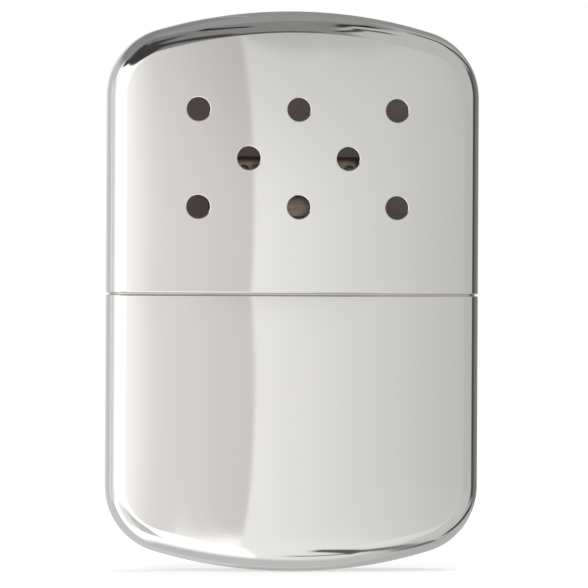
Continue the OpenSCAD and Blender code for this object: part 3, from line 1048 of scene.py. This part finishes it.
def paddingTree(sizes, material):
    # a matted pad: the surface sinks in and out in soft lumps, and loose strands lie on it
    tree, given = startTree("matted pad", sizes)
    seeded = node(tree, "ShaderNodeVectorMath", {
        0: node(tree, "GeometryNodeInputPosition"), 1: place(tree, given["Seed Shift"]),
    }, operation="ADD")
    lumps = node(tree, "ShaderNodeTexNoise", {"Vector": seeded, "Scale": given["Lump Scale"], "Detail": 3.0})
    inward = times(tree, minus(tree, lumps, 0.75), given["Lump Depth"])
    push = node(tree, "ShaderNodeVectorMath", {0: node(tree, "GeometryNodeInputNormal"), "Scale": inward},
                operation="SCALE")
    body = node(tree, "GeometryNodeSetPosition", {0: given["Geometry"], "Offset": push})
    spots = node(tree, "GeometryNodeDistributePointsOnFaces", {
        "Mesh": body, "Density": given["Strands"], "Seed": given["Seed"],
    })
    length, radius = given["Strand Length"], given["Strand Radius"]
    sag = node(tree, "GeometryNodeCurveQuadraticBezier", {
        "Resolution": 5,
        "Start": place(tree, times(tree, length, -0.5)),
        "Middle": place(tree, 0.0, times(tree, length, 0.3), times(tree, radius, 2.0)),
        "End": place(tree, times(tree, length, 0.5)),
    })
    ring = node(tree, "GeometryNodeCurvePrimitiveCircle", {"Resolution": 3, "Radius": radius})
    strand = node(tree, "GeometryNodeCurveToMesh", {"Curve": sag, "Profile Curve": ring, "Fill Caps": True})
    yaw = node(tree, "FunctionNodeRandomValue", {"Seed": given["Seed"], 3: 2 * math.pi}, data_type="FLOAT")
    spun = node(tree, "FunctionNodeRotateRotation", {
        "Rotation": spots.outputs["Rotation"],
        "Rotate By": node(tree, "FunctionNodeEulerToRotation", {0: place(tree, z=yaw.outputs[1])}),
    }, rotation_space="LOCAL")
    loose = node(tree, "GeometryNodeInstanceOnPoints",
                 {"Points": spots, "Instance": strand, "Rotation": spun})
    return endTree(tree, node(tree, "GeometryNodeJoinGeometry", {0: [body, loose]}), material)


def matted(name, base, look, material):
    # base is a closed mesh in metres
    sizes = {
        "Seed": look["seed"], "Seed Shift": look["seed"] * 0.37,
        "Lump Scale": look["lumpScale"], "Lump Depth": look["lumpDepth"] * mm,
        "Strands": look["strands"], "Strand Length": look["strandLength"] * mm,
        "Strand Radius": look["strandRadius"] * mm,
    }
    base.shade_smooth()
    return newObject(name, growMesh(name, paddingTree(sizes, material), sizes, base))


def readyForPad(bm):
    # large caps become triangles and every face points outwards
    bmesh.ops.triangulate(bm, faces=[f for f in bm.faces if len(f.verts) > 4])
    bmesh.ops.recalc_face_normals(bm, faces=bm.faces)


def longProfile(corners, step):
    # a rounded profile with points no further apart than step
    points = roundedProfile(corners)
    dense = [points[0]]
    for a, b in zip(points, points[1:]):
        count = max(1, math.ceil(math.dist(a, b) / step))
        dense += [
            (a[0] + (b[0] - a[0]) * k / count, a[1] + (b[1] - a[1]) * k / count)
            for k in range(1, count + 1)
        ]
    return dense


def oblongPad(name, corners, straight, step):
    # a closed pad, finely divided so that it can be matted
    mesh = turnedMesh(name, longProfile(corners, step), straight, None)
    with editing(mesh) as bm:
        bmesh.ops.remove_doubles(bm, verts=bm.verts, dist=0.001 * mm)
        for _ in range(8):
            # edges well past the step are halved until none is left
            long = [e for e in bm.edges if e.calc_length() > 1.6 * step * mm]
            if not long:
                break
            bmesh.ops.subdivide_edges(bm, edges=long, cuts=1)
        readyForPad(bm)
    return mesh


catalyst = {
    "rivetRoom": 0.5, "gap": 0.35, "topRound": 1.0, "ledgeRound": 0.25, "footRound": 0.4,
    "step": 0.35, "seed": 7, "lumpScale": 900.0, "lumpDepth": 0.45,
    "strands": 2.6e6, "strandLength": 1.5, "strandRadius": 0.022,
}
felt = {
    "topRound": 0.4, "footRound": 0.3, "step": 0.4, "seed": 3, "lumpScale": 700.0, "lumpDepth": 0.25,
    "strands": 1.2e6, "strandLength": 0.9, "strandRadius": 0.02,
}
cotton = {
    "seed": 11, "lumpScale": 160.0, "lumpDepth": 0.9,
    "strands": 9.0e4, "strandLength": 4.0, "strandRadius": 0.05,
}


def makeCatalyst(catalyst, material):
    low, high = nodeBox("catalyst_mat")
    wide = (high.y - low.y) / 2
    foot = burner["depth"] / 2 - 2 * burner["sheet"] - burner["trayGap"] - catalyst["rivetRoom"]
    shoulder = burner["trayTop"] + catalyst["gap"]
    ledge = catalyst["ledgeRound"]
    corners = [(0, high.z), (wide, high.z, catalyst["topRound"]), (wide, shoulder, ledge),
               (foot, shoulder, ledge), (foot, low.z, catalyst["footRound"]), (0, low.z)]
    pad = oblongPad("catalystMat", corners, burner["straight"], catalyst["step"])
    return matted("catalystMat", pad, catalyst, material)


def makeFelt(felt, material):
    low, high = nodeBox("neck_felt")
    half = (high.y - low.y) / 2
    corners = [(0, high.z), (half, high.z, felt["topRound"]), (half, low.z, felt["footRound"]), (0, low.z)]
    return matted("neckFelt", oblongPad("neckFelt", corners, neck["straight"], felt["step"]), felt, material)


wads = {
    "gap": 0.35,             # left around the cotton
    "parting": 0.3,          # between neighbouring wads
    "rounding": 2.2,
    "rows": 14,
}


def tankFloor(x, inset):
    # height of the tank's bottom at a distance x from the middle, drawn in by an inset
    end, corner = casing["endRadius"] - inset, casing["cornerRadius"] - inset
    cornerX = casing["halfWidth"] - casing["cornerRadius"]
    if abs(x) < end * math.sin(endLean):
        return casing["endRadius"] - math.sqrt(end ** 2 - x ** 2)
    return cornerDrop - math.sqrt(max(0.0, corner ** 2 - (abs(x) - cornerX) ** 2))


def wadForm(inset, low, high, formed):
    # a pillow with the casing's section; a formed one follows the rounded end of the tank
    base, facing = casingSection()
    points = []
    for row in range(wads["rows"] + 1):
        level = low + (high - low) * row / wads["rows"]
        near = min(1.0, min(level - low, high - level) / wads["rounding"])
        soft = wads["rounding"] * (1 - math.sqrt(1 - (1 - near) ** 2))
        for p, n in zip(base, facing):
            x, y = p - (inset + soft) * n
            rise = tankFloor(x, inset) - low if formed else 0.0
            points.append((x, y, level + rise * (high - level) / (high - low)))
    return points, len(base), wads["rows"] + 1


def makeWads(cotton, material):
    collarFoot, top = collarLow.z, nodeBox("cotton_wads")[1].z
    shellInset = casing["sheet"] + wads["gap"]
    collarInset = collar["inset"] + collar["sheet"] + wads["gap"]
    split = (shellInset + collarFoot) / 2
    forms = [
        ("lowerWad", shellInset, shellInset, split - wads["parting"], True),
        ("upperWad", shellInset, split, collarFoot - wads["parting"], False),
        ("collarWad", collarInset, collarFoot, top, False),
    ]
    pieces = []
    for name, inset, low, high, formed in forms:
        points, around, rows = wadForm(inset, low, high, formed)
        rings = [range(j * around, (j + 1) * around) for j in range(rows)]
        walls = [
            (a[i], a[(i + 1) % around], b[(i + 1) % around], b[i])
            for a, b in zip(rings, rings[1:]) for i in range(around)
        ]
        mesh = bpy.data.meshes.new(name)
        caps = [tuple(rings[0]), tuple(rings[-1])]
        mesh.from_pydata([tuple(c * mm for c in p) for p in points], [], walls + caps)
        with editing(mesh) as bm:
            readyForPad(bm)
        pieces.append(matted(name, mesh, cotton, material))
    return pieces


matPiece = makeCatalyst(catalyst, catalystFibre)
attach(matPiece, "burner")
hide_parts("catalyst_mat")
feltPiece = makeFelt(felt, feltCloth)
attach(feltPiece, "tank")
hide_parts("neck_felt")
wadPieces = makeWads(cotton, cottonWool)
for piece in wadPieces:
    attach(piece, "tank")
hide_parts("cotton_wads")
print("fillings done")


view = {
    "azimuth": -7.5,
    "elevation": 0.0,
    "roll": 0.3,
    "distance": 800.0,
    "frameWidth": 103.4,     # width of the picture at the object, in millimetres
    "pictureWidth": 588,
    "centreX": 292.7,        # where the casing's middle lies in the picture
    "centreY": 291.2,
}


def makeCamera(view):
    data = bpy.data.cameras.new("camera")
    data.lens = data.sensor_width * view["distance"] / view["frameWidth"]
    data.clip_start, data.clip_end = 0.01, 20
    camera = newObject("camera", data)
    a, e = math.radians(view["azimuth"]), math.radians(view["elevation"])
    back = Vector((math.sin(a) * math.cos(e), -math.cos(a) * math.cos(e), math.sin(e)))
    turn = (-back).to_track_quat("-Z", "Y")
    right, up = turn @ Vector((1, 0, 0)), turn @ Vector((0, 1, 0))
    perPixel = view["frameWidth"] / view["pictureWidth"]
    aim = (
        Vector((0, 0, lidHigh.z / 2))
        + right * (view["pictureWidth"] / 2 - view["centreX"]) * perPixel
        - up * (view["pictureWidth"] / 2 - view["centreY"]) * perPixel
    )
    camera.location = (aim + back * view["distance"]) * mm
    camera.rotation_euler = turn.to_euler()
    camera.rotation_euler.rotate_axis("Z", math.radians(view["roll"]))
    bpy.context.scene.camera = camera


makeCamera(view)

warm, pale, plain = (1.0, 0.955, 0.93), (1.0, 0.99, 0.955), (1.0, 1.0, 0.99)
wallLevel = 0.62             # where no card is


def card(azimuth, elevation, level, soft, tint=plain, tilt=(0, 0)):
    # a stretch of the surroundings that the chrome mirrors: from and to in degrees of azimuth (0 is
    # straight in front, positive towards +X) and of elevation, the level at either end, the softness
    # of the sides and of the upper and lower edge, and a tint; a tilt of (azimuth, slope) shears the
    # part past that azimuth
    return {
        "azimuth": azimuth, "elevation": elevation, "level": level,
        "soft": soft, "tint": tint, "tilt": tilt,
    }


cards = [
    # the walls of the room, from the bright window on the left round to the back
    card((-30, -0.2), (-95, 95), (0.95, 0.69), (0.3, 1), warm),
    card((-30, -0.2), (3.2, 95), (0.79, 0.57), (0.3, 2.6), warm),
    card((-93, -20), (-95, 95), (1.35, 1.25), (5, 1)),
    card((-0.2, 38), (-95, 95), (0.96, 0.57), (0.3, 1), pale),
    card((38, 84), (-95, 95), (0.56, 0.54), (3, 1), pale),
    card((84, 140), (-95, 95), (0.44, 0.45), (3, 1)),
    card((150, 181), (-95, 95), (0.9, 0.9), (8, 1)),
    card((-181, -150), (-95, 95), (0.9, 0.9), (8, 1)),
    # the floor: white on the left, paler on the right
    card((-93, -0.2), (-95, -4.1), (1.3, 1.2), (0.3, 0.06), tilt=(-11, -0.245)),
    card((-0.2, 36), (-95, -7.7), (0.97, 0.78), (0.5, 0.3), pale, (11, 0.2)),
    card((36, 84), (-95, -5), (0.64, 0.56), (6, 1.5), pale),
    card((-181, 181), (-95, -62), (0.58, 0.58), (1, 10)),
    card((99, 181), (-62, -8), (0.5, 0.5), (6, 6)),
    card((-181, -105), (-62, -8), (0.66, 0.66), (6, 6)),
    card((-70, -45), (-36, -14), (1.0, 0.84), (2, 3)),
    card((-45, -24), (-36, -14), (0.64, 0.6), (0.4, 3)),
    # dark furniture seen low on the right
    card((8, 24), (-44, -38), (0.34, 0.34), (3, 2)),
    card((10.5, 26), (-22, -11), (0.1, 0.1), (1, 1.5), tilt=(11, -1.7)),
    card((22, 60), (-39, -31), (0.13, 0.32), (2, 2.5), tilt=(22, -0.54)),
    card((60, 82), (-60, -50), (0.16, 0.16), (4, 3)),
    card((72, 121), (-45, -35), (0.05, 0.05), (2, 2), tilt=(72, 0.6)),
    card((106, 150), (-12, 22), (0.17, 0.3), (3, 4)),
    card((87, 107), (-12, 22), (0.05, 0.12), (3, 4)),
    # the upper walls and the ceiling, grey on the left and lighter on the right
    card((-0.2, 38), (3.2, 95), (0.76, 0.56), (0.3, 2.6), pale),
    card((-0.2, 84), (6.5, 95), (0.55, 0.55), (0.3, 0.25), pale, (11, -0.16)),
    card((-84, 17), (9, 95), (0.2, 0.27), (2, 1)),
    card((-181, -84), (30, 95), (0.27, 0.27), (3, 6)),
    card((125, 181), (20, 95), (0.31, 0.31), (4, 6)),
    card((15, 30), (30, 150), (0.25, 0.25), (2, 2), tilt=(14, 1.6)),
    card((28, 181), (57, 150), (0.25, 0.33), (2, 2), tilt=(28, 0.12)),
    card((-84, -22), (5, 26), (1.3, 1.2), (3, 0.6), tilt=(-60, -0.45)),
    card((-112, -99), (-14, 14), (0.82, 0.82), (3, 4)),
    card((-97, -79), (-14, 14), (0.68, 1.05), (2, 4)),
    card((-181, 181), (68, 95), (0.33, 0.33), (1, 4)),
    # dark beams across the ceiling and down the right
    card((-68, -19), (26, 52), (0.05, 0.05), (2, 1.2), tilt=(-60, -0.45)),
    card((-52, -27), (36, 55), (0.06, 0.06), (4, 3)),
    card((-80, -62), (27, 33), (0.05, 0.05), (3, 1.5)),
    card((-21, -3), (22, 33), (0.06, 0.06), (1.5, 2), tilt=(-16, -0.85)),
    card((-4, 11), (9.5, 17), (0.09, 0.14), (1.5, 1)),
    card((-28, -2), (61, 67), (0.02, 0.02), (2, 1.5), tilt=(-28, -0.68)),
    card((22, 34), (46, 51), (0.03, 0.03), (1.5, 1.2), tilt=(22, 0.9)),
    card((30, 62), (55.5, 60.5), (0.03, 0.03), (1.5, 1.2), tilt=(30, 0.22)),
    card((15, 28), (21, 27), (0.06, 0.06), (1.5, 1.5), tilt=(15, 1.7)),
    card((27, 42), (42.5, 47.5), (0.06, 0.14), (1.5, 1.5), tilt=(27, 0.25)),
    card((86, 97), (40, 62), (0.05, 0.05), (2, 2)),
    card((90, 121), (39, 51), (0.05, 0.05), (2, 2), tilt=(90, -0.93)),
]


def between(tree, angle, ends, soft):
    # 1 between two angles and 0 outside them, with soft edges
    low, high = ends
    rise = span(tree, angle, low - soft, low + soft, 0.0, 1.0)
    fall = span(tree, angle, high - soft, high + soft, 1.0, 0.0)
    rise.interpolation_type = fall.interpolation_type = "SMOOTHSTEP"
    return times(tree, rise, fall)


def makeWorld(cards):
    # what the chrome mirrors; the camera sees white behind the object
    world = bpy.data.worlds.new("studio")
    bpy.context.scene.world = world
    world.use_nodes = True
    tree = world.node_tree
    tree.nodes.clear()
    looking = node(tree, "ShaderNodeTexCoord").outputs["Generated"]
    direction = node(tree, "ShaderNodeSeparateXYZ", {0: looking})
    ahead = times(tree, direction.outputs[1], -1.0)
    azimuth = maths(tree, "DEGREES", maths(tree, "ARCTAN2", direction, ahead))
    elevation = maths(tree, "DEGREES", maths(tree, "ARCSINE", direction.outputs[2]))
    shade = tuple(wallLevel * part for part in plain)
    for one in cards:
        pivot, slope = one["tilt"]
        lift = times(tree, maths(tree, "MAXIMUM", minus(tree, azimuth, pivot), 0), slope)
        sides = between(tree, azimuth, one["azimuth"], one["soft"][0])
        edges = between(tree, minus(tree, elevation, lift), one["elevation"], one["soft"][1])
        level = span(tree, azimuth, *one["azimuth"], *one["level"])
        own = node(tree, "ShaderNodeVectorMath", {0: one["tint"], "Scale": level}, operation="SCALE")
        shade = node(tree, "ShaderNodeMix", {0: times(tree, sides, edges), 4: shade, 5: own},
                     data_type="VECTOR").outputs[1]
    seen = blend(tree, node(tree, "ShaderNodeLightPath").outputs["Is Camera Ray"], shade, (1, 1, 1, 1))
    background = node(tree, "ShaderNodeBackground", {"Color": seen, "Strength": 1.0})
    node(tree, "ShaderNodeOutputWorld", {0: background})


makeWorld(cards)


lamps = {
    "keyLamp": {"place": (-0.5, -0.9, 0.8), "aim": (0, 0, 0.05), "size": 0.7, "watts": 6},
    "topLamp": {"place": (0.2, 0.1, 1.1), "aim": (0, 0, 0.0), "size": 0.8, "watts": 6},
}


def addLamp(name, lamp):
    data = bpy.data.lights.new(name, "AREA")
    data.shape = "RECTANGLE"
    data.size = data.size_y = lamp["size"]
    data.energy = lamp["watts"]
    obj = newObject(name, data)
    obj.location = lamp["place"]
    obj.rotation_euler = (Vector(lamp["aim"]) - obj.location).to_track_quat("-Z", "Y").to_euler()
    obj.visible_glossy = False


for name, lamp in lamps.items():
    addLamp(name, lamp)


floorLook = {"radius": 0.35, "grey": 0.8, "glow": 0.4}


def makeFloor(look):
    mesh = bpy.data.meshes.new("floor")
    with editing(mesh) as bm:
        bmesh.ops.create_circle(bm, cap_ends=True, segments=96, radius=look["radius"])
    floor = newObject("floor", mesh)
    material, tree, surface = startMaterial("paleFloor", (look["grey"],) * 3, 0.0, 0.9)
    path = node(tree, "ShaderNodeLightPath").outputs
    bounced = maths(tree, "MAXIMUM", path["Is Glossy Ray"], path["Is Transmission Ray"])
    shown = maths(tree, "MAXIMUM", path["Is Camera Ray"], bounced)
    glow = times(tree, shown, look["glow"])
    feed(tree, surface, {"Emission Color": (1, 1, 1, 1), "Emission Strength": glow})
    mesh.materials.append(material)
    floor.visible_glossy = False     # the cards stand in for it in the chrome


makeFloor(floorLook)
bpy.context.scene.view_settings.view_transform = "Standard"
